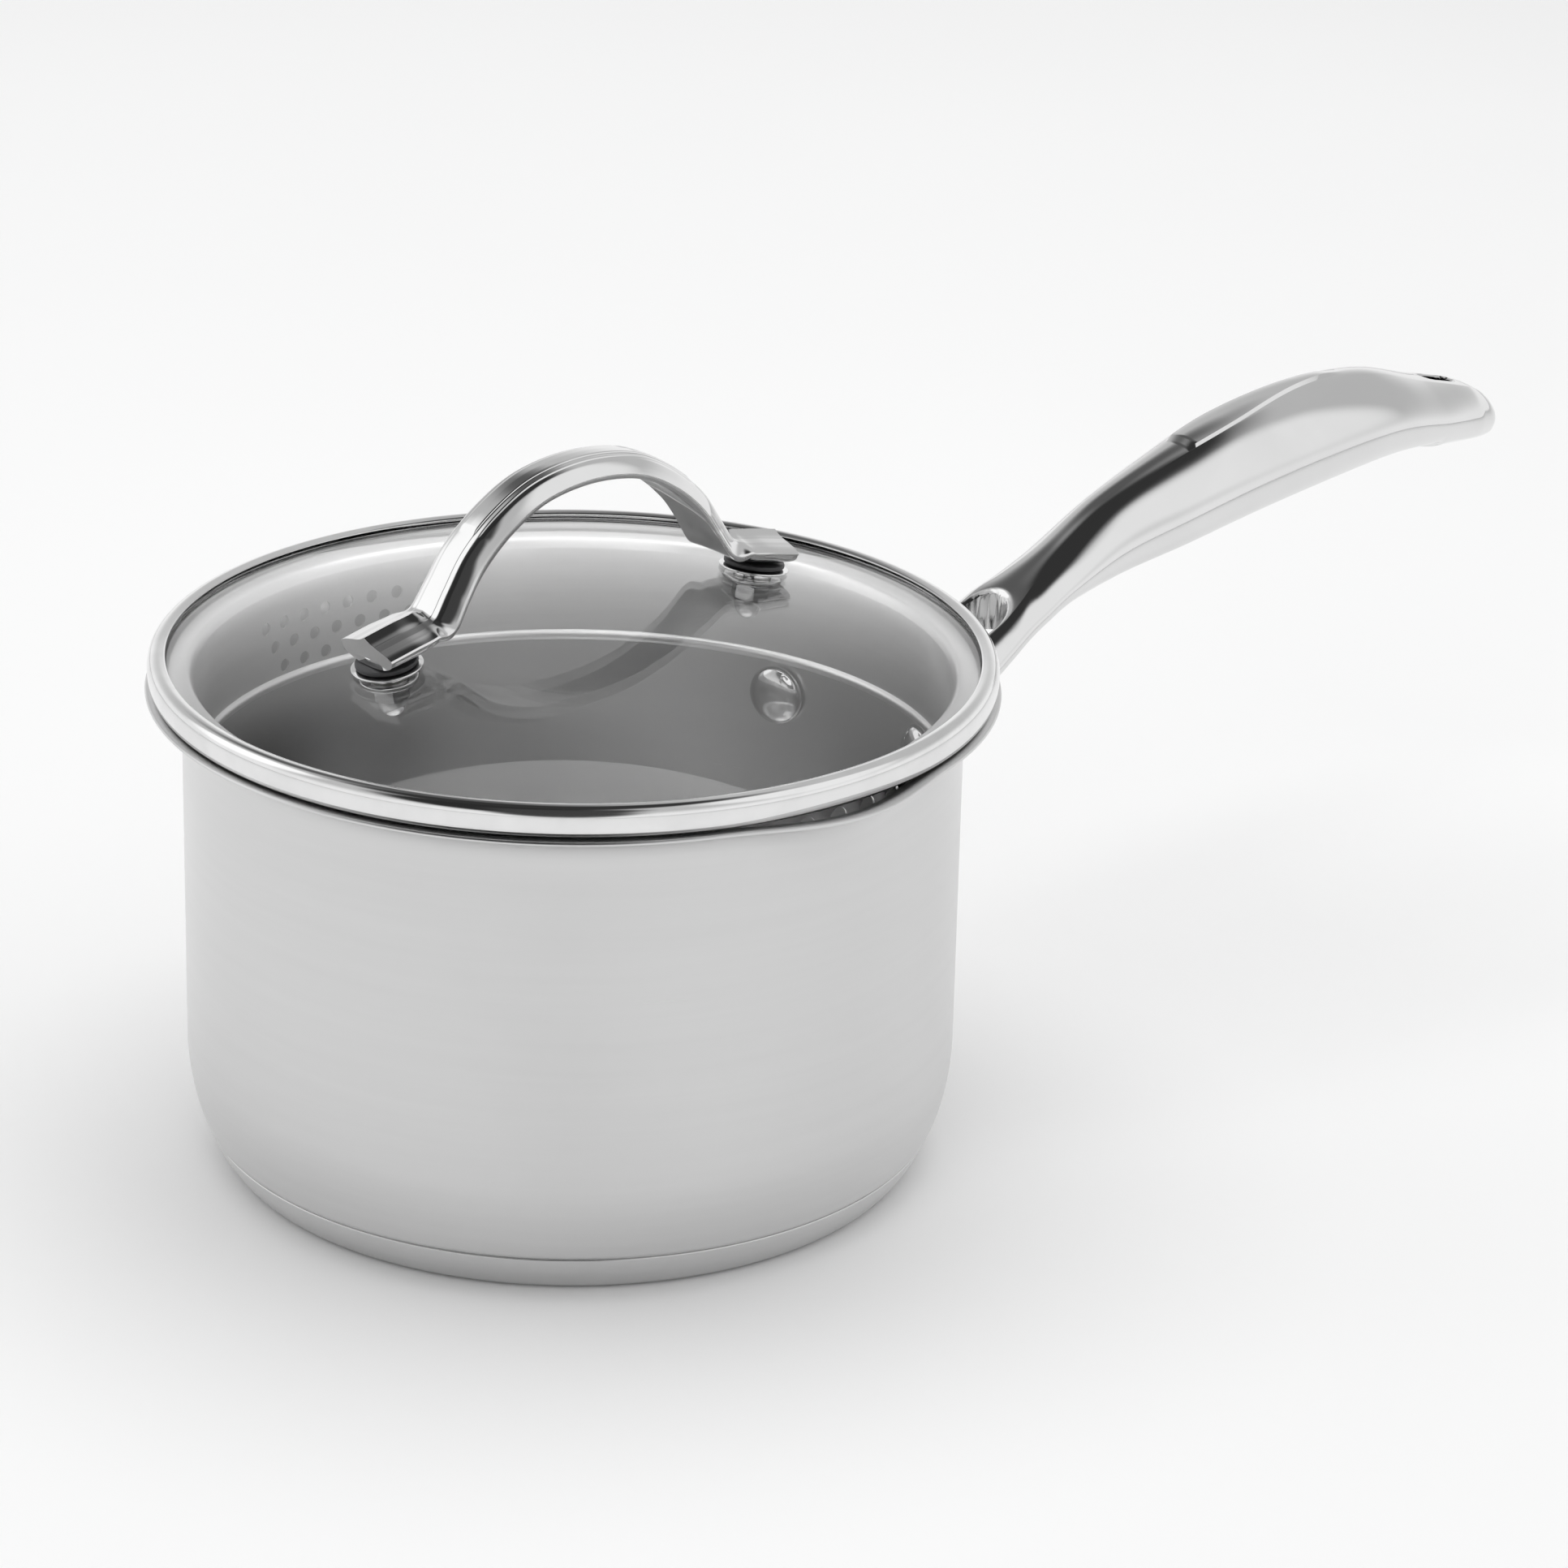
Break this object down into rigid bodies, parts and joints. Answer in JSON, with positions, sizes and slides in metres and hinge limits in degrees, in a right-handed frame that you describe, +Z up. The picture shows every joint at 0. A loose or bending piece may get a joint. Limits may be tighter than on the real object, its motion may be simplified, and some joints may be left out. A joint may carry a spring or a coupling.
{
  "type": "saucepan with glass lid",
  "caption": "Stainless saucepan with pouring lips, riveted cast handle, disc base, and a domed glass lid with strainer skirt and arched handle.",
  "frame": {"origin": "on the pan's axis, in the plane of the base's flat underside that it stands on", "axes": "+Z up along the pan's axis, +X along the long handle"},
  "size_m": [0.3639, 0.1826, 0.1535],
  "materials": {
    "satin_steel": "satin polished outside, fine circular grain",
    "brushed_steel": "horizontal brushed grain",
    "polished_steel": "mirror polished stainless steel",
    "aluminium": "plain pressed disc",
    "glass": "clear tempered glass",
    "silicone": "matt moulded silicone",
    "nylon": "plain moulded nylon"
  },
  "bodies": {
    "pan": {"pan_body": "satin_steel", "base_core": "aluminium", "base_cap": "satin_steel", "pan_handle": "polished_steel", "handle_rivet_left": "polished_steel", "handle_rivet_right": "polished_steel"},
    "lid_ring": {"lid_rim_ring": "polished_steel"},
    "lid": {"lid_glass": "glass", "lid_strainer_skirt": "brushed_steel", "lid_handle": "polished_steel", "handle_seat_near": "polished_steel", "handle_gasket_near": "silicone", "handle_stud_near": "satin_steel", "glass_bush_near": "nylon", "under_washer_near": "satin_steel", "cap_nut_near": "polished_steel", "handle_seat_far": "polished_steel", "handle_gasket_far": "silicone", "handle_stud_far": "satin_steel", "glass_bush_far": "nylon", "under_washer_far": "satin_steel", "cap_nut_far": "polished_steel"}
  },
  "joints": [
    {"name": "lid_lift", "type": "slide", "parent": "pan", "child": "lid_ring", "axis": [0, 0, 1], "range_m": [0, 0.15]},
    {"name": "lid_turn", "type": "hinge", "parent": "lid_ring", "child": "lid", "pos_m": [0, 0, 0.11], "axis": [0, 0, 1], "continuous": true}
  ]
}
